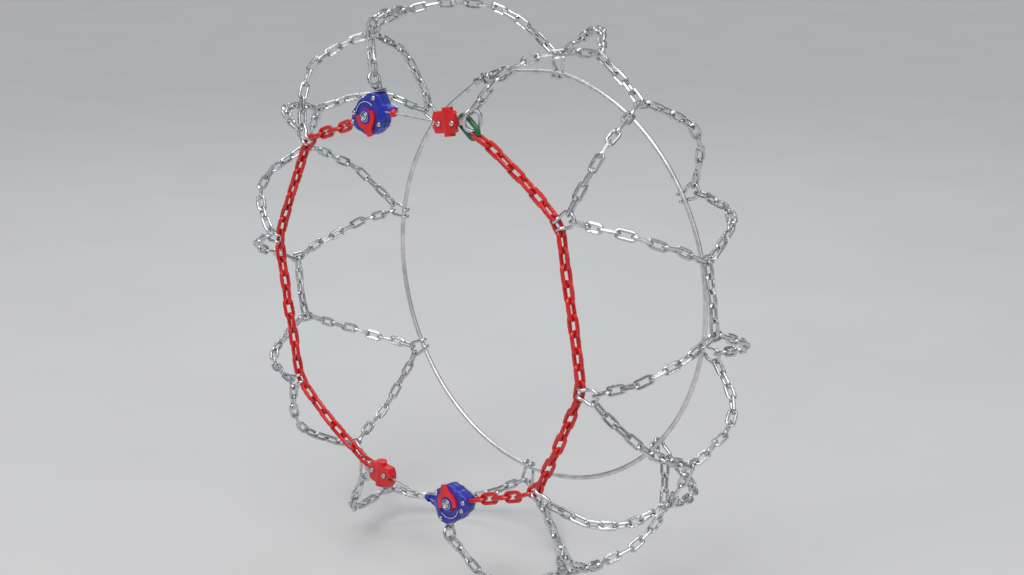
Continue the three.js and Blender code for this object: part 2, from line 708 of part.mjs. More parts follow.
function oval(halfLength, halfWidth) {
  const points = [];
  for (let k = 0; k < 16; k += 1) {
    const a = (2 * Math.PI * (k + 0.5)) / 16;
    const shift = Math.sign(Math.cos(a)) * (halfLength - halfWidth);
    points.push([shift + halfWidth * Math.cos(a), halfWidth * Math.sin(a)]);
  }
  return points;
}

const linkW = [LINK_W - LINK_BAR_R, LINK_W + LINK_BAR_R];
const outerHalf = LINK_BAR_OFFSET + LINK_BAR_R;
const innerHalf = LINK_BAR_OFFSET - LINK_BAR_R;
const releaseLink = prism(oval(LINK_HALF_LENGTH, outerHalf), linkW)
  .subtract(prism(oval(LINK_HALF_LENGTH - 2 * LINK_BAR_R, innerHalf), THROUGH));
addPart('release_link', releaseLink, 'green', linkFrame());

export default group;
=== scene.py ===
import json
import math

import bpy
import bmesh
import numpy as np
from mathutils import Matrix, Vector


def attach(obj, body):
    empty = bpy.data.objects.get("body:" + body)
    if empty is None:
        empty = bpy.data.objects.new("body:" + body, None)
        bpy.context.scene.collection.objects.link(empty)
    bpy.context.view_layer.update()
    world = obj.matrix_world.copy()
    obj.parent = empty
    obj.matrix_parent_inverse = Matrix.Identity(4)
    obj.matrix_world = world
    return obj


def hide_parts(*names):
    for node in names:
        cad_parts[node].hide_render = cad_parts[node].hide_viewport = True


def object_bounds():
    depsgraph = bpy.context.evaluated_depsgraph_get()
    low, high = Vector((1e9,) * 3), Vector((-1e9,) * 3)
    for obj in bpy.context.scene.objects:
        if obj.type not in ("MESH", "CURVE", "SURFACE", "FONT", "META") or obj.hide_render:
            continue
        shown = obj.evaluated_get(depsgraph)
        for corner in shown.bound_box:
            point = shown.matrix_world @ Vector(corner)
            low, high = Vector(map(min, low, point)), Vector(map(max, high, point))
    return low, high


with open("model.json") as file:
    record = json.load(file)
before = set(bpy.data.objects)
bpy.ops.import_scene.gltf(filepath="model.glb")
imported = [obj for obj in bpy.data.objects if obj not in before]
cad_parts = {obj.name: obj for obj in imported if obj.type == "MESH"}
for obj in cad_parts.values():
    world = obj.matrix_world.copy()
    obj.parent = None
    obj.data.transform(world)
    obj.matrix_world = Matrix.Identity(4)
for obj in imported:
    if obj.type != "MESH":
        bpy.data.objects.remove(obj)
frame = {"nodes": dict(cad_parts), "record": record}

CAD_LOW, CAD_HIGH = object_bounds()
RNG = np.random.default_rng(7)
MM = 0.001

# ---- the net's layout, in millimetres, as the CAD part has it --------------
TREAD_R = 395.0
SIDE_R = 289.0
SIDE_Y = 118.0
ARM_FOOT_R = 310.5
SHOULDER = [(0, TREAD_R), (45, 392.5), (82, 381), (100, 362), (112, 335), (SIDE_Y, ARM_FOOT_R)]
SIDE_JUNCTIONS = [31.3, -9.6, -42.5]
TREAD_NODES = [59.4, 46, 16.1, 2.6, -22.5, -33, -56, -69]
SPLIT_ANGLE = 85
RATCHET_R = 258.0
RATCHET_BACK_Y = 113.0
WIND_R = 9.9
CABLE_W = 13.4
FRONT_W = 19.0
CAVITY_TOP_W = 17.5
CASE_R = 25.0
NOSE_X = 40.0
FERRULE_X = 45.6
RIVETS = [(21, 19.8), (20, -14.5), (-22.5, 9.5), (-28.6, -1)]
WING = [(0, CASE_R), (12, 28.5), (29, 22), (33, 3), (24.5, -14), (19, -19.5), (0, -CASE_R)]
TAIL = [(-10, 20), (-26, 13.5), (-33, 4), (-33, -6), (-24, -14), (-10, -20)]
FUNNEL = [(8, -17), (NOSE_X, -5.5), (NOSE_X, 5.5), (8, 13)]
TAIL_U = -33.0
EYE_U = 20.0
EYE_RING_V = 43.0
HOUSING_RIVETS = [(9.4, -1.5), (33.4, -1.5)]
PEG_X = 43.2
ANCHOR_END_X = 44.0
LINK_TURN = -45.5
LINK_FROM_PEG = 11.0
LINK_HALF_LENGTH = 20.5
LINK_RING_AT = (184.8, 10.2, 9.5)
LINK_BAR_OFFSET = 8.2
LINK_BAR_HALF = 3.05
LINK_W = 8.0
EYE_RING_W = 10.0
COUPLER_ANGLE = 110.0
COUPLER_PIVOT_X = -18.0
COUPLER_NECK_X = 16.0
SIDES = {
    1: {"turn": 0, "angle": 107.5, "cable": -19.2, "pull": 126.0, "tilt": 10},
    2: {"turn": 180, "angle": 285.4, "cable": -21.6, "pull": 116.5, "tilt": 0},
}
SIDE_BOW = 3.0
TREAD_WIRE = 2.15
TREAD_PITCH = 19.0
TREAD_WIDTH = 14.0
SIDE_WIRE = 2.65
SIDE_PITCH = 22.5
SIDE_WIDTH = 16.5
HOOK_WIRE = 2.35
HOOK_LOOP_END = 26.5
POCKET_CENTRE = (-4.8, -17.0)
POCKET_R = 5.6
DIAL_RIDGE_R = 19.3
RIVET_HEAD_R = 3.3
CASE_SIDES = 240
Y_AXIS = np.array([0.0, 1.0, 0.0])


# ---- geometry helpers ------------------------------------------------------
def unit(v):
    v = np.asarray(v, float)
    return v / np.linalg.norm(v)


def polar(radius, degrees, y):
    a = math.radians(degrees)
    return np.array([radius * math.cos(a), y, radius * math.sin(a)])


def basis(x, y, z, origin):
    m = np.eye(4)
    m[:3, 0], m[:3, 1], m[:3, 2], m[:3, 3] = x, y, z, origin
    return m


def rim_frame(radius, degrees, y):
    a = math.radians(degrees)
    hand = math.copysign(1, y)
    along = -hand * np.array([math.sin(a), 0, -math.cos(a)])
    outward = np.array([math.cos(a), 0, math.sin(a)])
    return basis(along, outward, [0, hand, 0], polar(radius, degrees, y))


def turn_z(degrees):
    a = math.radians(degrees)
    return basis([math.cos(a), math.sin(a), 0], [-math.sin(a), math.cos(a), 0], [0, 0, 1], [0, 0, 0])


def turn_y(degrees):
    a = math.radians(degrees)
    return basis([math.cos(a), 0, math.sin(a)], [0, 1, 0], [-math.sin(a), 0, math.cos(a)], [0, 0, 0])


def shift(x, y, z):
    return basis([1, 0, 0], [0, 1, 0], [0, 0, 1], [x, y, z])


def ratchet_frame(side):
    return rim_frame(RATCHET_R, SIDES[side]["angle"], -RATCHET_BACK_Y)


def cable_frame(side):
    return ratchet_frame(side) @ turn_z(SIDES[side]["cable"]) @ shift(0, WIND_R, 0)


def housing_frame(side):
    """At the pull cable's end, x along the housing."""
    data = SIDES[side]
    return cable_frame(side) @ shift(data["pull"], 0, 0) @ turn_z(data["tilt"])


def link_frame():
    """At the green link's middle, x along it."""
    return housing_frame(1) @ shift(PEG_X, 0, 0) @ turn_z(LINK_TURN) @ shift(LINK_FROM_PEG, 0, 0)


def at(matrix, points):
    points = np.atleast_2d(np.asarray(points, float))
    return points @ matrix[:3, :3].T + matrix[:3, 3]


def smooth_line(points, per_span=24):
    """Centripetal Catmull-Rom through the points, sampled finely."""
    pts = [np.asarray(p, float) for p in points]
    pts = [2 * pts[0] - pts[1]] + pts + [2 * pts[-1] - pts[-2]]
    out = []
    for p0, p1, p2, p3 in zip(pts, pts[1:], pts[2:], pts[3:]):
        t1 = math.sqrt(np.linalg.norm(p1 - p0))
        t2 = t1 + math.sqrt(np.linalg.norm(p2 - p1))
        t3 = t2 + math.sqrt(np.linalg.norm(p3 - p2))
        for s in np.linspace(0, 1, per_span, endpoint=False):
            t = t1 + s * (t2 - t1)
            a1 = p0 * (t1 - t) / t1 + p1 * t / t1
            a2 = p1 * (t2 - t) / (t2 - t1) + p2 * (t - t1) / (t2 - t1)
            a3 = p2 * (t3 - t) / (t3 - t2) + p3 * (t - t2) / (t3 - t2)
            b1 = a1 * (t2 - t) / t2 + a2 * t / t2
            b2 = a2 * (t3 - t) / (t3 - t1) + a3 * (t - t1) / (t3 - t1)
            out.append(b1 * (t2 - t) / (t2 - t1) + b2 * (t - t1) / (t2 - t1))
    out.append(pts[-2])
    return np.array(out)


def lengths_along(line):
    steps = np.linalg.norm(np.diff(line, axis=0), axis=1)
    return np.concatenate([[0], np.cumsum(steps)])


def resample(line, count):
    s = lengths_along(line)
    want = np.linspace(0, s[-1], count)
    return np.stack([np.interp(want, s, line[:, k]) for k in range(3)], axis=1)


def point_on(line, distance):
    s = lengths_along(line)
    point = np.array([np.interp(distance, s, line[:, k]) for k in range(3)])
    ahead = np.array([np.interp(distance + 0.5, s, line[:, k]) for k in range(3)])
    behind = np.array([np.interp(distance - 0.5, s, line[:, k]) for k in range(3)])
    return point, unit(ahead - behind)


# ---- meshes ----------------------------------------------------------------
class Shape:
    """Vertices and faces gathered for one object, in millimetres."""

    def __init__(self):
        self.verts, self.faces, self.count = [], [], 0

    def add(self, verts, faces, matrix=None):
        verts = np.asarray(verts, float)
        if matrix is not None:
            verts = at(matrix, verts)
        self.verts.append(verts)
        self.faces.extend([tuple(i + self.count for i in f) for f in faces])
        self.count += len(verts)
        return self

    def piece(self, name, body, slot, material, replaces=(), sharp=40):
        mesh = bpy.data.meshes.new(name)
        mesh.from_pydata((np.concatenate(self.verts) * MM).tolist(), [], self.faces)
        bm = bmesh.new()
        bm.from_mesh(mesh)
        bmesh.ops.recalc_face_normals(bm, faces=bm.faces)
        bm.to_mesh(mesh)
        bm.free()
        return finish_piece(name, mesh, body, material, replaces, sharp)


def finish_piece(name, mesh, body, material, replaces, sharp):
    mesh.polygons.foreach_set("use_smooth", [True] * len(mesh.polygons))
    mesh.set_sharp_from_angle(angle=math.radians(sharp))
    mesh.materials.clear()
    mesh.materials.append(material)
    obj = bpy.data.objects.new(name, mesh)
    bpy.context.scene.collection.objects.link(obj)
    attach(obj, body)
    if replaces:
        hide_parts(*replaces)
    return obj


def grid_faces(rows, cols, close_rows=False, close_cols=True, caps=False):
    faces = []
    for i in range(rows if close_rows else rows - 1):
        for j in range(cols if close_cols else cols - 1):
            a, b = i * cols + j, i * cols + (j + 1) % cols
            c, d = ((i + 1) % rows) * cols + (j + 1) % cols, ((i + 1) % rows) * cols + j
            faces.append((a, b, c, d))
    if caps:
        faces.append(tuple(range(cols))[::-1])
        faces.append(tuple((rows - 1) * cols + j for j in range(cols)))
    return faces


def sweep(line, section, closed=False, start_normal=None, scale=None):
    """Carries a closed 2-D section along a line without twisting it."""
    line = np.asarray(line, float)
    n = len(line)
    if closed:
        tangents = np.roll(line, -1, 0) - np.roll(line, 1, 0)
    else:
        tangents = np.gradient(line, axis=0)
    tangents = tangents / np.linalg.norm(tangents, axis=1)[:, None]
    normal = np.array(start_normal if start_normal is not None else [0.31, 0.77, 0.55], float)
    section = np.asarray(section, float)
    rings = []
    for k in range(n):
        normal = unit(normal - tangents[k] * (normal @ tangents[k]))
        across = np.cross(tangents[k], normal)
        size = 1 if scale is None else scale[k]
        part = section[k] if section.ndim == 3 else section
        rings.append(line[k] + size * (part[:, :1] * normal + part[:, 1:] * across))
    verts = np.concatenate(rings)
    return verts, grid_faces(n, len(rings[0]), close_rows=closed, caps=not closed)


def circle(radius, sides=10):
    a = 2 * np.pi * np.arange(sides) / sides
    return np.stack([radius * np.cos(a), radius * np.sin(a)], axis=1)


def lathe(profile, axis_matrix, sides=32):
    """Turns (distance along z, radius) pairs round the frame's z axis."""
    a = 2 * np.pi * np.arange(sides) / sides
    verts = [[r * math.cos(t), r * math.sin(t), z] for z, r in profile for t in a]
    faces = grid_faces(len(profile), sides, caps=True)
    return at(axis_matrix, verts), faces


def rounded(z0, z1, radius, bevel, steps=3):
    """A lathe profile for a short cylinder with round edges."""
    out = []
    for k in range(steps + 1):
        t = math.pi / 2 * k / steps
        out.append((z0 + bevel * (1 - math.cos(t)), radius - bevel * (1 - math.sin(t))))
    top = [(z1 - (z - z0), r) for z, r in reversed(out)]
    return [(z0, 0.02)] + out + top + [(z1, 0.02)]


def dome(z0, radius, height, steps=5):
    rows = [(z0 - 0.5, 0.02), (z0 - 0.5, radius), (z0, radius)]
    for k in range(1, steps):
        t = math.pi / 2 * k / steps
        rows.append((z0 + height * math.sin(t), radius * math.cos(t)))
    rows.append((z0 + height, 0.02))
    return rows


# ---- materials -------------------------------------------------------------
def material(name, color, second, metallic, rough, bump, scale, grit=0.0, coat=0.0, wear=None):
    """A node material: two tones mixed by noise, varied roughness, fine bump, optional worn flecks."""
    mat = bpy.data.materials.new(name)
    mat.use_nodes = True
    nodes, links = mat.node_tree.nodes, mat.node_tree.links
    shader = nodes["Principled BSDF"]
    shader.inputs["Metallic"].default_value = metallic
    shader.inputs["Coat Weight"].default_value = coat
    shader.inputs["Coat Roughness"].default_value = 0.12
    coords = nodes.new("ShaderNodeTexCoord")

    def noise(size, detail=3.0, kind="ShaderNodeTexNoise"):
        n = nodes.new(kind)
        n.inputs["Scale"].default_value = size
        if "Detail" in n.inputs:
            n.inputs["Detail"].default_value = detail
        links.new(coords.outputs["Object"], n.inputs["Vector"])
        return n

    def ramp(source, low, high, a, b):
        r = nodes.new("ShaderNodeValToRGB")
        r.color_ramp.elements[0].position, r.color_ramp.elements[1].position = low, high
        r.color_ramp.elements[0].color, r.color_ramp.elements[1].color = (*a, 1), (*b, 1)
        links.new(source, r.inputs["Fac"])
        return r

    broad = noise(scale)
    tone = ramp(broad.outputs["Fac"], 0.35, 0.68, color, second).outputs["Color"]
    if wear:
        worn_color, size, low, high = wear
        flecks = noise(size, 6.0)
        mask = ramp(flecks.outputs["Fac"], low, high, (0, 0, 0), (1, 1, 1))
        mix = nodes.new("ShaderNodeMix")
        mix.data_type = "RGBA"
        links.new(mask.outputs["Color"], mix.inputs["Factor"])
        links.new(tone, mix.inputs["A"])
        mix.inputs["B"].default_value = (*worn_color, 1)
        tone = mix.outputs["Result"]
    links.new(tone, shader.inputs["Base Color"])
    fine = noise(scale * 9, 5.0)
    spread = nodes.new("ShaderNodeMapRange")
    spread.inputs["To Min"].default_value = rough[0]
    spread.inputs["To Max"].default_value = rough[1]
    links.new(fine.outputs["Fac"], spread.inputs["Value"])
    links.new(spread.outputs["Result"], shader.inputs["Roughness"])
    relief = nodes.new("ShaderNodeBump")
    relief.inputs["Strength"].default_value = bump
    relief.inputs["Distance"].default_value = 0.0004
    grain = noise(scale * 22 + grit, 4.0)
    links.new(grain.outputs["Fac"], relief.inputs["Height"])
    links.new(relief.outputs["Normal"], shader.inputs["Normal"])
    return mat


ZINC = material("zinc_steel", (0.74, 0.75, 0.77), (0.54, 0.56, 0.59), 1.0, (0.15, 0.38), 0.24, 55,
                wear=((0.36, 0.36, 0.37), 260, 0.62, 0.73))
CABLE = material("cable_steel", (0.86, 0.87, 0.88), (0.66, 0.67, 0.69), 1.0, (0.28, 0.5), 0.35, 90)
SPRING = material("spring_steel", (0.36, 0.37, 0.39), (0.25, 0.26, 0.3), 1.0, (0.25, 0.45), 0.2, 70)
RED_PAINT = material("red_paint", (0.72, 0.012, 0.010), (0.55, 0.006, 0.008), 0.0, (0.24, 0.42), 0.25, 45,
                     coat=0.35, wear=((0.30, 0.02, 0.02), 330, 0.66, 0.74))
GREEN_PAINT = material("green_paint", (0.008, 0.16, 0.055), (0.005, 0.105, 0.04), 0.0, (0.25, 0.42),
                       0.25, 60, coat=0.35, wear=((0.06, 0.2, 0.12), 330, 0.66, 0.75))
RED_PLASTIC = material("red_plastic", (0.78, 0.010, 0.014), (0.64, 0.006, 0.010), 0.0, (0.28, 0.46),
                       0.3, 40, grit=500, coat=0.15)
BLUE_PLASTIC = material("blue_plastic", (0.020, 0.032, 0.42), (0.013, 0.022, 0.31), 0.0, (0.26, 0.44),
                        0.3, 40, grit=500, coat=0.2, wear=((0.05, 0.07, 0.5), 380, 0.68, 0.78))
# Pale lavender colour for a painted highlight: a light arc that stands in for the sheen along the dial's
# raised ridge.
PAINTED_RIDGE_HIGHLIGHT = material("painted_ridge_highlight", (0.72, 0.76, 0.95), (0.6, 0.64, 0.86), 0.0, (0.3, 0.45), 0.15, 120)
SLOT_MATERIAL = {
    "zinc_steel": ZINC, "cable_steel": CABLE, "spring_steel": SPRING, "red_paint": RED_PAINT,
    "green_paint": GREEN_PAINT, "red_plastic": RED_PLASTIC, "blue_plastic": BLUE_PLASTIC,
}


# ---- chain links -----------------------------------------------------------
def link_mesh(pitch, width, wire, around=28, sides=8, weld=0.16):
    """One welded link along x, lying in the x-y plane, with the weld's swelling on one leg."""
    bow = width / 2 - wire
    straight = pitch / 2 + wire - bow
    leg = 2 * max(straight, 0.1)
    total = 2 * leg + 2 * math.pi * bow
    rings, sizes = [], []
    for k in range(around):
        s = (k + 0.5) * total / around
        if s < leg:
            x, y = -leg / 2 + s, -bow
        elif s < leg + math.pi * bow:
            t = (s - leg) / bow
            x, y = leg / 2 + bow * math.sin(t), -bow * math.cos(t)
        elif s < 2 * leg + math.pi * bow:
            x, y = leg / 2 - (s - leg - math.pi * bow), bow
        else:
            t = (s - 2 * leg - math.pi * bow) / bow
            x, y = -leg / 2 - bow * math.sin(t), bow * math.cos(t)
        rings.append([x, y, 0])
        middle = math.exp(-((x / 1.6) ** 2)) if y < 0 and abs(x) < leg / 2 + 0.5 else 0
        sizes.append(1 + weld * middle)
    return sweep(rings, circle(wire, sides), closed=True, start_normal=[0, 0, 1], scale=sizes)


def surface_normal(point):
    """Outward from the tire at a point of the net."""
    r, y = math.hypot(point[0], point[2]), abs(point[1])
    best, normal = 1e9, (1, 0)
    for (y0, r0), (y1, r1) in zip(SHOULDER, SHOULDER[1:]):
        for s in np.linspace(0, 1, 9):
            d = math.hypot(y0 + s * (y1 - y0) - y, r0 + s * (r1 - r0) - r)
            if d < best:
                best = d
                length = math.hypot(y1 - y0, r1 - r0)
                normal = ((y1 - y0) / length, (r0 - r1) / length)
    radial = np.array([point[0], 0, point[2]]) / r
    return normal[0] * radial + normal[1] * math.copysign(1, point[1]) * Y_AXIS


def lay_links(shape, line, pitch, width, wire, normal_at, first=90.0, last=None, contacts=None, sag=0.5,
              lead=None):
    """Hooks links one in another along a line, each turned a quarter; lead may take the first one."""
    if contacts is None:
        contacts = resample(line, max(1, round(lengths_along(line)[-1] / pitch)) + 1)
    n = len(contacts) - 1
    contacts[1:-1] += RNG.normal(0, sag, (n - 1, 3))
    twist = 0.0
    if last is not None:
        over = (first + 90 * (n - 1) - last + 90) % 180 - 90
        twist = -over
    for k in range(n):
        a, b = contacts[k], contacts[k + 1]
        along = unit(b - a)
        up = normal_at((a + b) / 2)
        up = unit(up - along * (up @ along))
        roll = math.radians(first + 90 * k + twist * k / max(1, n - 1) + RNG.normal(0, 5))
        side = math.cos(roll) * np.cross(up, along) + math.sin(roll) * up
        if RNG.random() < 0.5:
            side = -side
        verts, faces = link_mesh(np.linalg.norm(b - a) + 0.2, width, wire)
        taker = lead if lead is not None and k == 0 else shape
        taker.add(verts, faces, basis(along, side, np.cross(along, side), (a + b) / 2))


# ---- junction hooks --------------------------------------------------------
def hook_shape(shape, matrix, centre, wrap, wire=HOOK_WIRE):
    """A bent-wire hook: two prongs round a bar at y = centre, joined by a loop for two arms."""
    reach = wrap + wire
    half = [
        (5.3, centre - reach * 0.35, -reach * 0.95), (5.3, centre - reach * 0.96, -reach * 0.35),
        (5.2, centre - reach * 0.88, reach * 0.5), (5.2, centre - reach * 0.3, reach * 0.98),
        (5.8, centre + reach * 0.45, reach * 0.94), (7.4, centre + reach * 1.15, reach * 0.42),
        (9.2, 16.8, 1.2), (9.6, 21.5, 0.3), (7.0, 25.8, 0.0), (2.6, 27.6, 0.0),
    ]
    points = [np.array(p) for p in half] + [np.array([-x, y, z]) for x, y, z in reversed(half)]
    line = resample(smooth_line(points, 12), 84)
    sizes = np.ones(len(line))
    for k in range(4):
        sizes[k] = sizes[-1 - k] = (0.45, 0.78, 0.93, 0.99)[k]
    verts, faces = sweep(line, circle(wire, 12), start_normal=[1, 0, 0], scale=sizes)
    shape.add(verts, faces, matrix)


def hook_contact(matrix, direction, wire=HOOK_WIRE):
    """Where an arm's first link bears on the loop; direction is +1 or -1 along the side line."""
    return at(matrix, [direction * 5.0, HOOK_LOOP_END - wire, 0.0])[0]


def oval_ring(shape, matrix, half_length, half_width, wire, around=44, sides=12):
    """A closed ring in the frame's y-z plane, longer along y."""
    straight = half_length - half_width
    points = []
    for k in range(around):
        t = 2 * math.pi * (k + 0.5) / around
        lean = math.copysign(straight, math.cos(t)) * min(1, 6 * abs(math.cos(t)))
        points.append([0, half_width * math.cos(t) + lean, half_width * math.sin(t)])
    line = np.array(points)
    line = resample(np.vstack([line, line[:1]]), around + 1)[:-1]
    verts, faces = sweep(line, circle(wire, sides), closed=True, start_normal=[1, 0, 0])
    shape.add(verts, faces, matrix)


def span_points(turn, k):
    """A junction and the nearly straight span of side chain after it."""
    angle = SIDE_JUNCTIONS[k] + turn
    points = [polar(SIDE_R, angle, -SIDE_Y)]
    if k + 1 < len(SIDE_JUNCTIONS):
        half = (SIDE_JUNCTIONS[k + 1] - SIDE_JUNCTIONS[k]) / 2
        for share in (-0.6, 0.6):
            radius = SIDE_R * math.cos(math.radians(half)) / math.cos(math.radians(share * half))
            points.append(polar(radius + SIDE_BOW, angle + half + share * half, -SIDE_Y))
    return points


def side_line(side):
    cable, ratchet = cable_frame(side), ratchet_frame(2 if side == 1 else 1)
    if side == 1:
        points = [at(link_frame(), [LINK_HALF_LENGTH - 5.0, 0, 8])[0], at(cable, [211, -17, 7])[0]]
    else:
        points = [at(housing_frame(2), [ANCHOR_END_X - 3.4, 0, 8])[0], at(cable, [181, -3, 7])[0]]
    for k in range(len(SIDE_JUNCTIONS)):
        points += span_points(SIDES[side]["turn"], k)
    points += [at(ratchet, [TAIL_U - 22, -3, 6])[0], at(ratchet, [TAIL_U + 1, -1.8, 6.5])[0]]
    return smooth_line(points, 40)


SIDE_LINES = {side: side_line(side) for side in SIDES}


def frame_on(line, distance):
    point, along = point_on(line, distance)
    outward = unit(np.cross([0, -1, 0], along))
    return basis(along, outward, np.cross(along, outward), point)


HOOK_FRAMES = {}
for side, data in SIDES.items():
    for k, angle in enumerate(SIDE_JUNCTIONS):
        HOOK_FRAMES[side, k] = rim_frame(SIDE_R, angle + data["turn"], -SIDE_Y)
ANCHOR_HOOK = frame_on(SIDE_LINES[2], 17.0)
CLIP_FRAMES = {}
for side, data in SIDES.items():
    for k, angle in enumerate([SPLIT_ANGLE] + SIDE_JUNCTIONS):
        CLIP_FRAMES[side, k] = rim_frame(SIDE_R, angle + data["turn"], SIDE_Y)


# ---- tread chains ----------------------------------------------------------
def arm_line(node_angle, foot, hand, node_offset):
    """From the node link's end over the shoulder to a point on a hook's loop."""
    foot_angle = math.degrees(math.atan2(foot[2], foot[0]))
    foot_angle += 360 * round((node_angle - foot_angle) / 360)
    points = [polar(TREAD_R, node_angle, hand * node_offset)]
    for k, (y, radius) in enumerate(SHOULDER[1:-1], 1):
        share = k / (len(SHOULDER) - 1)
        points.append(polar(radius, node_angle + share * (foot_angle - node_angle), hand * y))
    return smooth_line(points + [foot])


def ratchet_eye_foot(side):
    return at(ratchet_frame(side), [EYE_U, EYE_RING_V + 7.4, EYE_RING_W])[0]


def release_ring_foot():
    """Where a tread chain's arm bears on the top of the release link's ring."""
    x, y, w = LINK_RING_AT
    return at(cable_frame(1), [x, y + 10.3, w])[0]


def tread_chain(number):
    side, k = (number - 1) // 4 + 1, (number - 1) % 4
    turn = SIDES[side]["turn"]
    near, far = TREAD_NODES[2 * k] + turn, TREAD_NODES[2 * k + 1] + turn
    shape = Shape()
    half = TREAD_PITCH / 2
    for angle in (near, far):
        middle = polar(TREAD_R, angle, 0)
        up = unit([middle[0], 0, middle[2]])
        verts, faces = link_mesh(TREAD_PITCH, TREAD_WIDTH, TREAD_WIRE)
        shape.add(verts, faces, basis(Y_AXIS, np.cross(up, Y_AXIS), up, middle))
    inset = math.degrees((TREAD_WIDTH / 2 - 2 * TREAD_WIRE) / TREAD_R)
    run = [polar(TREAD_R, near - inset + s * (far - near + 2 * inset), 0) for s in np.linspace(0, 1, 9)]
    lay_links(shape, np.array(run), TREAD_PITCH, TREAD_WIDTH, TREAD_WIRE, surface_normal, 90.0, 90.0)
    if k == 0:
        near_foot = release_ring_foot() if side == 1 else hook_contact(ANCHOR_HOOK, 0.6)
    else:
        near_foot = hook_contact(HOOK_FRAMES[side, k - 1], -hand_of(near, junction(side, k)))
    if k == 3:
        far_foot = ratchet_eye_foot(2 if side == 1 else 1)
    else:
        far_foot = hook_contact(HOOK_FRAMES[side, k], -hand_of(far, junction(side, k + 1)))
    next_side = 2 if side == 1 else 1
    clips = [CLIP_FRAMES[side, k], CLIP_FRAMES[side, k + 1] if k < 3 else CLIP_FRAMES[next_side, 0]]
    inner = [hook_contact(clips[0], hand_of(near, junction(side, k))),
             hook_contact(clips[1], hand_of(far, junction(side, k + 1)))]
    arms = ((near, near_foot, -1), (far, far_foot, -1), (near, inner[0], 1), (far, inner[1], 1))
    for angle, foot, hand in arms:
        line = arm_line(angle, foot, hand, half)
        lay_links(shape, line, TREAD_PITCH, TREAD_WIDTH, TREAD_WIRE, surface_normal, 90.0, 90.0)
    shape.piece(f"tread_links_{number}", "net", "zinc_steel", ZINC, [f"tread_chain_{number}"])


def junction(side, k):
    """The outer line's split or junction angle that the k-th tread chain starts from."""
    angles = [SPLIT_ANGLE] + SIDE_JUNCTIONS + [SPLIT_ANGLE - 180]
    return angles[k] + SIDES[side]["turn"]


def hand_of(node, joint):
    return 1 if node > joint else -1


for number in range(1, 9):
    tread_chain(number)

for (side, k), matrix in HOOK_FRAMES.items():
    number = 3 * (side - 1) + k + 1
    shape = Shape()
    hook_shape(shape, matrix, 4.2, 3.2)
    shape.piece(f"junction_hook_{number}", "net", "zinc_steel", ZINC, [f"side_hook_{number}"])
shape = Shape()
hook_shape(shape, ANCHOR_HOOK, 4.2, 3.2)
shape.piece("junction_hook_7", "net", "zinc_steel", ZINC, ["anchor_hook"])
for (side, k), matrix in CLIP_FRAMES.items():
    number = 4 * (side - 1) + k + 1
    shape = Shape()
    hook_shape(shape, matrix, 0.0, 3.6)
    shape.piece(f"inner_clip_{number}", "net", "zinc_steel", ZINC, [f"hoop_clip_{number}"])

# ---- rings on the ratchet eyes and on the release link ----------------------
for side in SIDES:
    shape = Shape()
    oval_ring(shape, ratchet_frame(side) @ shift(EYE_U, EYE_RING_V, EYE_RING_W), 9.7, 8.6, 2.3)
    shape.piece(f"eye_ring_{side}", "net", "zinc_steel", ZINC, [f"ratchet_{side}_eye_link"])
shape = Shape()
oval_ring(shape, cable_frame(1) @ shift(*LINK_RING_AT) @ turn_y(35), 13.0, 10.2, 2.7)
shape.piece("release_ring", "net", "zinc_steel", ZINC, ["link_ring"])


# ---- outboard side chains --------------------------------------------------
def outboard(_point):
    return np.array([0.0, -1.0, 0.0])


def side_contacts(line):
    """Contact points spaced so that a flat link's middle lies at every junction."""
    lengths = lengths_along(line)
    spots = [lengths[80], lengths[200], lengths[320]]
    marks = []
    lead = max(1, 2 * round((spots[0] / SIDE_PITCH - 1.5) / 2) + 1)
    step = spots[0] / (lead + 0.5)
    marks += [k * step for k in range(lead + 1)]
    for a, b in zip(spots, spots[1:]):
        count = 2 * round((b - a) / SIDE_PITCH / 2)
        marks += [a + (k + 0.5) * (b - a) / count for k in range(count)]
    rest = lengths[-1] - spots[2]
    count = round(rest / SIDE_PITCH - 0.5)
    marks += [spots[2] + (k + 0.5) * rest / (count + 0.5) for k in range(count + 1)]
    return np.array([point_on(line, m)[0] for m in marks])


for side in SIDES:
    shape = Shape()
    contacts = side_contacts(SIDE_LINES[side])
    first_link = Shape() if side == 2 else None
    lay_links(shape, None, SIDE_PITCH, SIDE_WIDTH, SIDE_WIRE, outboard, 90.0, contacts=contacts, sag=0.3,
              lead=first_link)
    if first_link:
        first_link.piece("anchor_first_link", "cable_2", "red_paint", RED_PAINT)
    shape.piece(f"side_links_{side}", "net", "red_paint", RED_PAINT, [f"side_chain_{side}"])


# ---- wire rope: a lobed section that turns as it goes -----------------------
def rope(shape, line, radius, lay, matrix=None, lobes=6, per_lobe=4, step=2.0):
    total = lengths_along(line)[-1]
    points = resample(line, max(3, int(total / step)))
    sections = []
    for k in range(len(points)):
        turn = 2 * math.pi * (k * total / (len(points) - 1)) / lay
        a = 2 * math.pi * np.arange(lobes * per_lobe) / (lobes * per_lobe)
        r = radius * (0.86 + 0.14 * np.abs(np.cos(lobes * (a - turn) / 2)))
        sections.append(np.stack([r * np.cos(a), r * np.sin(a)], axis=1))
    verts, faces = sweep(points, np.array(sections), start_normal=[0, 0.6, 0.8])
    shape.add(verts, faces, matrix)


for side in SIDES:
    shape = Shape()
    end = SIDES[side]["pull"] + 1.6
    rope(shape, np.array([[-1.5, 0, CABLE_W], [60, 0, CABLE_W], [end, 0, CABLE_W]]), 1.62, 11.0,
         cable_frame(side), per_lobe=4, step=1.1)
    shape.piece(f"pull_rope_{side}", f"cable_{side}", "cable_steel", CABLE, [f"pull_cable_{side}"])

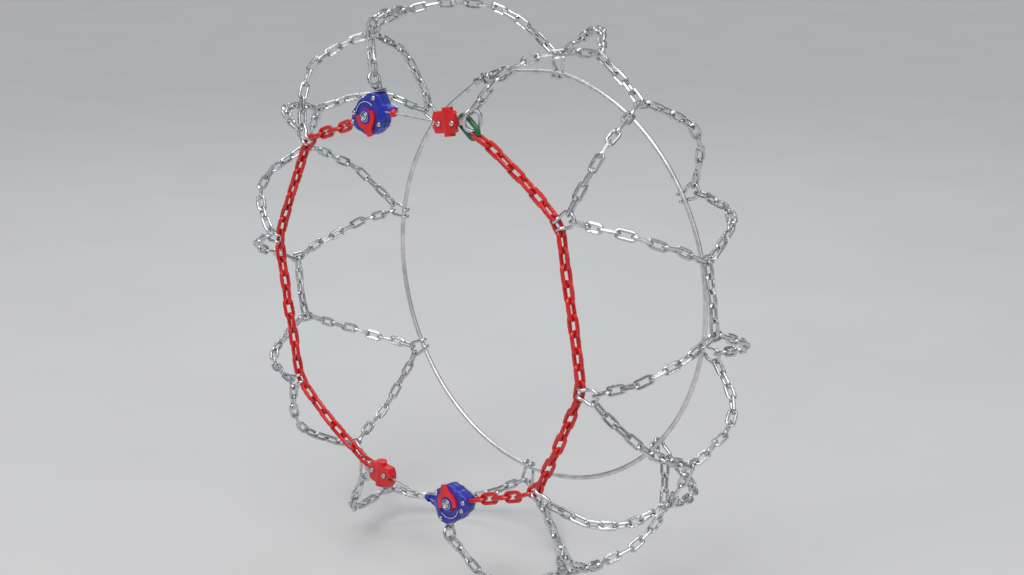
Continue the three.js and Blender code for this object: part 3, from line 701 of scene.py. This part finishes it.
# ---- inboard hoop with its coupler ------------------------------------------
COUPLER = rim_frame(SIDE_R, COUPLER_ANGLE, SIDE_Y)
ALONG_X = basis([0, 1, 0], [0, 0, 1], [1, 0, 0], [0, 0, 0])
hoop_points = [at(COUPLER, [COUPLER_NECK_X + 12, 0, 0])[0]]
for k in range(17):
    hoop_points.append(polar(SIDE_R, COUPLER_ANGLE + 7 + k * 346 / 16, SIDE_Y))
hoop_points.append(at(COUPLER, [COUPLER_PIVOT_X - 12, 0, 0])[0])
shape = Shape()
rope(shape, smooth_line(hoop_points, 60), 3.3, 28.0, step=2.2)
shape.piece("hoop_rope", "net", "cable_steel", CABLE, ["hoop_cable"])

shape = Shape()
neck = COUPLER_NECK_X
button = [(neck - 15, 0.02), (neck - 15, 4.6), (neck - 14.2, 6.3), (neck - 13, 7), (neck - 8.4, 7),
          (neck - 7.3, 6.4), (neck - 7, 2.7), (neck + 2, 2.7), (neck + 2.3, 4.0), (neck + 3.2, 4.8),
          (neck + 16.5, 4.8), (neck + 18, 4.3), (neck + 18, 0.02)]
shape.add(*lathe(button, COUPLER @ ALONG_X))
pivot = COUPLER_PIVOT_X
sleeve = [(pivot - 18, 0.02), (pivot - 18, 4.3), (pivot - 16.5, 4.8), (pivot - 8.5, 4.8),
          (pivot - 6, 4.0), (pivot - 6, 0.02)]
shape.add(*lathe(sleeve, COUPLER @ ALONG_X))
shape.add(*lathe(rounded(-3, 3, 6.0, 0.8), COUPLER @ shift(pivot, 0, 0)))
shape.add(*lathe(rounded(2, 11.2, 2.5, 0.3), COUPLER @ shift(pivot, 0, 0), 20))
shape.add(*lathe(dome(9.8, 4.2, 1.7), COUPLER @ shift(pivot, 0, 0), 24))
shape.piece("hoop_fittings", "net", "zinc_steel", ZINC)


# ---- bevelled copies of the frame's own solids ------------------------------
def softened(node, name, body, slot, width=0.45, segments=2, sharp=38):
    """A copy of a CAD node with its facets merged and its edges rounded."""
    mesh = frame["nodes"][node].data.copy()
    mesh.name = name
    bm = bmesh.new()
    bm.from_mesh(mesh)
    bmesh.ops.remove_doubles(bm, verts=bm.verts, dist=2e-6)
    bmesh.ops.dissolve_limit(bm, angle_limit=math.radians(1.5), verts=bm.verts, edges=bm.edges)
    edges = [e for e in bm.edges if len(e.link_faces) == 2 and e.calc_face_angle(0) > math.radians(35)]
    bmesh.ops.bevel(bm, geom=edges, offset=width * MM, offset_type="OFFSET", segments=segments,
                    profile=0.6, affect="EDGES", clamp_overlap=True)
    bm.to_mesh(mesh)
    bm.free()
    for attribute in list(mesh.attributes):
        if attribute.name in ("custom_normal",):
            mesh.attributes.remove(attribute)
    return finish_piece(name, mesh, body, SLOT_MATERIAL[slot], [node], sharp)


# ---- ratchets --------------------------------------------------------------
def ray_out(polygon, angle):
    """Farthest crossing of a ray from the origin with a polygon's edges."""
    d = np.array([math.cos(angle), math.sin(angle)])
    best = 0.0
    for a, b in zip(polygon, polygon[1:] + polygon[:1]):
        a, e = np.array(a, float), np.array(b, float) - np.array(a, float)
        det = d[0] * -e[1] + d[1] * e[0]
        if abs(det) < 1e-12:
            continue
        t = (a[0] * -e[1] + a[1] * e[0]) / det
        s = (d[0] * a[1] - d[1] * a[0]) / det
        if -1e-9 <= s <= 1 + 1e-9 and t > best:
            best = t
    return best


def case_outline(side, angles):
    turn = math.radians(SIDES[side]["cable"])
    c, s = math.cos(turn), math.sin(turn)
    turned = [(x * c - (y + WIND_R) * s, x * s + (y + WIND_R) * c) for x, y in FUNNEL]
    out = np.array([max([CASE_R] + [ray_out(p, a) for p in (WING, TAIL, turned)]) for a in angles])
    for _ in range(2):
        out = 0.25 * np.roll(out, 1) + 0.5 * out + 0.25 * np.roll(out, -1)
    return out


def pocket_outline(radius, angles):
    out = []
    for a in angles:
        d = np.array([math.cos(a), math.sin(a)])
        centre = np.array(POCKET_CENTRE)
        along = d @ centre
        miss = centre @ centre - along ** 2
        meets = miss < POCKET_R ** 2 and along > 0
        out.append(max(radius, along + math.sqrt(POCKET_R ** 2 - miss)) if meets else radius)
    return np.array(out)


def front_height(u, v):
    """Top of the front case: flat round the dial, sloping away past a crease toward the nose."""
    w = FRONT_W - min(max((u - 24.0) * 0.5, 0), 4.4)
    w -= min(max((-24 - u) * 0.22, 0), 2.4)
    for ru, rv in RIVETS:
        d = math.hypot(u - ru, v - rv)
        if d < 5.2:
            w = max(w, FRONT_W - 1.6 * max(0, d - 4.0))
    return w


def lofted_case(side, rear):
    angles = np.linspace(0, 2 * np.pi, CASE_SIDES, endpoint=False)
    outer = case_outline(side, angles)
    flat = np.stack([np.cos(angles), np.sin(angles)], axis=1)
    rows = []

    def ring(radii, heights):
        outline = flat * np.asarray(radii)[:, None]
        rows.append(np.column_stack([outline, np.broadcast_to(heights, radii.shape)]))

    if rear:
        cavity = np.full(CASE_SIDES, 16.0)
        for inset, w in ((0.9, 2.3), (0.25, 2.6), (0, 3.2), (0, 10.2), (0.25, 10.8), (0.9, 11.0)):
            ring(outer - inset, w)
        ring(cavity + 0.01, 11.0)
        ring(cavity, 4.0)
        ring(np.full(CASE_SIDES, 3.4), 4.0)
        ring(np.full(CASE_SIDES, 3.3), 2.3)
    else:
        bevel = 2.4
        ring(outer - 0.9, 11.3)
        ring(outer - 0.25, 11.55)
        ring(outer, 12.1)
        edge = np.array([front_height(*(flat[k] * (outer[k] - bevel))) for k in range(CASE_SIDES)])
        ring(outer, edge - bevel)
        for t in (0.3, 0.6, 0.85):
            a = t * math.pi / 2
            ring(outer - bevel * (1 - math.cos(a)), edge - bevel * (1 - math.sin(a)))
        for share in np.linspace(1, 0, 30):
            radii = 4.6 + (outer - bevel - 4.6) * share
            ring(radii, np.array([front_height(*(flat[k] * radii[k])) for k in range(CASE_SIDES)]))
        ring(np.full(CASE_SIDES, 3.4), FRONT_W)
        ring(np.full(CASE_SIDES, 3.3), CAVITY_TOP_W)
        cavity = pocket_outline(17.0, angles)
        ring(cavity, CAVITY_TOP_W)
        ring(cavity + 0.01, 11.3)
    return np.concatenate(rows), grid_faces(len(rows), CASE_SIDES, close_rows=True)


def arc_tube(shape, matrix, radius, start, end, w, section, steps=40, sides=8):
    a = np.radians(np.linspace(start, end, steps))
    line = np.stack([radius * np.cos(a), radius * np.sin(a), np.full(steps, w)], axis=1)
    sizes = np.ones(steps)
    sizes[0] = sizes[-1] = 0.5
    verts, faces = sweep(line, circle(section, sides), start_normal=[0, 0, 1], scale=sizes)
    shape.add(verts, faces, matrix)


for side in SIDES:
    R = ratchet_frame(side)
    tag = f"ratchet_{side}"
    for rear, node in ((True, "rear_case"), (False, "front_case")):
        shape = Shape()
        shape.add(*lofted_case(side, rear), R)
        if not rear:
            arc_tube(shape, R, DIAL_RIDGE_R, -48, 168, FRONT_W + 0.1, 1.2)
        shape.piece(f"{tag}_{node}_shell", "net", "blue_plastic", BLUE_PLASTIC, [f"{tag}_{node}"], sharp=32)
    # Painted highlight: a thin pale tube laid on top of the dial's ridge, standing in for the sheen along
    # it.
    shape = Shape()
    arc_tube(shape, R, DIAL_RIDGE_R, 35, 150, FRONT_W + 1.2, 0.45)
    shape.piece(f"{tag}_dial_painted_highlight", "net", "blue_plastic", PAINTED_RIDGE_HIGHLIGHT)
    shape = Shape()
    for u, v in RIVETS:
        shape.add(*lathe(dome(FRONT_W + 0.7, RIVET_HEAD_R, 1.9), R @ shift(u, v, 0), 24))
    shape.piece(f"{tag}_rivets", "net", "zinc_steel", ZINC)
    shape = Shape()
    shape.add(*lathe([(21.1, 3.35), (21.1, 9.0), (21.4, 9.6), (22.9, 9.6), (23.4, 9.0), (23.5, 8.2),
                      (23.1, 7.6), (23.1, 5.4), (23.4, 4.9), (23.4, 3.35)], R, 48))
    shape.piece(f"{tag}_hub_cap", "net", "blue_plastic", BLUE_PLASTIC, [f"{tag}_hub"])
    shape = Shape()
    shape.add(*lathe([(22.9, 6.0), (23.5, 5.8), (23.9, 6.1), (23.9, 6.9), (23.5, 7.2), (22.9, 7.0)], R, 48))
    shape.piece(f"{tag}_clip_ring", "net", "zinc_steel", ZINC)
    shape = Shape()
    shape.add(*lathe([(2.3, 0.02), (2.3, 3.0), (23.5, 3.0), (23.5, 4.7), (24.2, 4.7), (24.8, 4.2),
                      (25.2, 3.0), (25.4, 1.5), (25.0, 1.2), (24.9, 0.02)], R, 28))
    shape.piece(f"{tag}_axle_pin", "net", "zinc_steel", ZINC, [f"{tag}_axle"])
    softened(f"{tag}_lever", f"{tag}_lever_arm", f"lever_{side}", "red_plastic", 0.7, 3)
    softened(f"{tag}_backplate", f"{tag}_back_sheet", "net", "zinc_steel", 0.3, 2)

shape = Shape()
ball = [(FERRULE_X + 5.2 * math.sin(t), max(5.2 * math.cos(t), 1.75)) for t in np.linspace(-1.2, 1.2, 13)]
ball = [(ball[0][0], 1.75)] + ball + [(ball[-1][0], 1.75)]
shape.add(*lathe(ball, cable_frame(1) @ shift(0, 0, CABLE_W) @ ALONG_X))
shape.piece("ferrule_ball", "net", "red_plastic", RED_PLASTIC, ["ratchet_1_ferrule"])
shape = Shape()
cone = [(NOSE_X + 0.3, 1.8), (NOSE_X + 0.3, 4.9), (NOSE_X + 1.0, 5.3), (NOSE_X + 3, 5.0),
        (NOSE_X + 7.4, 3.6), (NOSE_X + 8.2, 2.9), (NOSE_X + 8.2, 1.8)]
shape.add(*lathe(cone, cable_frame(2) @ shift(0, 0, CABLE_W) @ ALONG_X))
shape.piece("ferrule_cone", "net", "blue_plastic", BLUE_PLASTIC, ["ratchet_2_ferrule"])

# ---- hook, anchor and release link -------------------------------------------
for node, body, side in (("hook_housing", "hook", 1), ("anchor_housing", "cable_2", 2)):
    softened(node, f"{node}_shell", body, "red_plastic", 0.8, 3)
    shape = Shape()
    for x, y in HOUSING_RIVETS:
        shape.add(*lathe(dome(20.4, 3.5, 1.9), housing_frame(side) @ shift(x, y, 0), 24))
    shape.piece(f"{node}_rivets", body, "zinc_steel", ZINC)
softened("hook_tongue", "hook_tongue_plate", "hook", "zinc_steel", 0.3, 2)
softened("anchor_plate", "anchor_plate_sheet", "cable_2", "zinc_steel", 0.3, 2)
softened("hoop_strap", "coupler_strap", "strap", "zinc_steel", 0.5, 2)

oval_line = []
for k in range(64):
    t = 2 * math.pi * (k + 0.5) / 64
    lean = math.copysign(LINK_HALF_LENGTH - 11.2, math.cos(t)) * min(1, 5 * abs(math.cos(t)))
    oval_line.append([lean + LINK_BAR_OFFSET * math.cos(t), LINK_BAR_OFFSET * math.sin(t), LINK_W])
oval_line = np.array(oval_line)
oval_line = resample(np.vstack([oval_line, oval_line[:1]]), 65)[:-1]
a = 2 * np.pi * np.arange(14) / 14
square = np.stack([LINK_BAR_HALF * np.sign(np.cos(a)) * np.abs(np.cos(a)) ** 0.7,
                   LINK_BAR_HALF * np.sign(np.sin(a)) * np.abs(np.sin(a)) ** 0.7], axis=1)
shape = Shape()
shape.add(*sweep(oval_line, square, closed=True, start_normal=[0, 0, 1]), link_frame())
shape.piece("release_link_bar", "net", "green_paint", GREEN_PAINT, ["release_link"])

# ---- the frame's own solids that still show -----------------------------------
for entry in frame["record"]["subparts"]:
    mesh = frame["nodes"][entry["node"]].data
    mesh.materials.clear()
    mesh.materials.append(SLOT_MATERIAL[entry["material_slot"]])

# ---- floor, light and camera ----------------------------------------------------
FLOOR_Z = CAD_LOW.z - 0.002


def studio_floor():
    """A wide pale floor under the net, seen the same from every side."""
    sides = 72
    verts = [(0.0, 0.0, FLOOR_Z)]
    radii = (0.6, 1.5, 4.0, 12.0, 45.0)
    for radius in radii:
        for k in range(sides):
            t = 2 * math.pi * k / sides
            verts.append((radius * math.cos(t), radius * math.sin(t), FLOOR_Z))
    faces = [(0, 1 + k, 1 + (k + 1) % sides) for k in range(sides)]
    for row in range(len(radii) - 1):
        inner, outer = 1 + row * sides, 1 + (row + 1) * sides
        for k in range(sides):
            nxt = (k + 1) % sides
            faces.append((inner + k, outer + k, outer + nxt, inner + nxt))
    mesh = bpy.data.meshes.new("floor")
    mesh.from_pydata(verts, [], faces)
    pale = material("pale_floor", (0.66, 0.66, 0.66), (0.64, 0.64, 0.645), 0.0, (0.6, 0.75), 0.05, 3)
    mesh.materials.append(pale)
    obj = bpy.data.objects.new("floor", mesh)
    bpy.context.scene.collection.objects.link(obj)


studio_floor()


def area_light(name, position, size, power, color=(1, 1, 1)):
    light = bpy.data.lights.new(name, "AREA")
    light.shape = "RECTANGLE"
    light.size, light.size_y = size
    light.energy = power
    light.color = color
    obj = bpy.data.objects.new(name, light)
    obj.location = position
    obj.rotation_euler = (-Vector(position)).to_track_quat("-Z", "Y").to_euler()
    bpy.context.scene.collection.objects.link(obj)


area_light("key", (0.2, -2.2, 2.4), (1.4, 1.0), 24)
area_light("fill", (2.6, -0.3, 1.2), (0.8, 1.4), 9)
area_light("rim", (-1.8, 1.6, 2.2), (1.6, 0.8), 12)
area_light("top", (0, 0, 3.0), (2.0, 2.0), 5)

sun = bpy.data.lights.new("sky_wash", "SUN")
sun.energy = 1.0
sun.angle = math.radians(50)
sun_object = bpy.data.objects.new("sky_wash", sun)
sun_object.rotation_euler = Vector((-0.3, 0.5, -1.2)).to_track_quat("-Z", "Y").to_euler()
bpy.context.scene.collection.objects.link(sun_object)

world = bpy.data.worlds.new("studio")
world.use_nodes = True
sky = world.node_tree.nodes["Background"]
sky.inputs["Strength"].default_value = 0.42
heading = world.node_tree.nodes.new("ShaderNodeTexCoord")
split = world.node_tree.nodes.new("ShaderNodeSeparateXYZ")
world.node_tree.links.new(heading.outputs["Generated"], split.inputs["Vector"])
tones = world.node_tree.nodes.new("ShaderNodeValToRGB")
tones.color_ramp.elements[0].position = 0.0
tones.color_ramp.elements[0].color = (0.07, 0.07, 0.08, 1)
tones.color_ramp.elements[1].position = 0.55
tones.color_ramp.elements[1].color = (0.95, 0.97, 1.0, 1)
world.node_tree.links.new(split.outputs["Z"], tones.inputs["Fac"])
world.node_tree.links.new(tones.outputs["Color"], sky.inputs["Color"])
bpy.context.scene.world = world
bpy.context.scene.view_settings.view_transform = "Standard"

AZIMUTH, ELEVATION = math.radians(44.2), math.radians(14.796)
right = Vector((math.cos(AZIMUTH), math.sin(AZIMUTH), 0))
level = math.cos(ELEVATION)
back = Vector((math.sin(AZIMUTH) * level, -math.cos(AZIMUTH) * level, math.sin(ELEVATION)))
up = back.cross(right)
camera = bpy.data.cameras.new("camera")
camera.sensor_width = 36
camera.lens = 61.07
camera.clip_start = 0.05
camera_object = bpy.data.objects.new("camera", camera)
turned = Matrix((right, up, back)).transposed().to_4x4()
camera_object.matrix_world = Matrix.Translation((1.6104, -1.5983, 0.6057)) @ turned
bpy.context.scene.collection.objects.link(camera_object)
bpy.context.scene.camera = camera_object
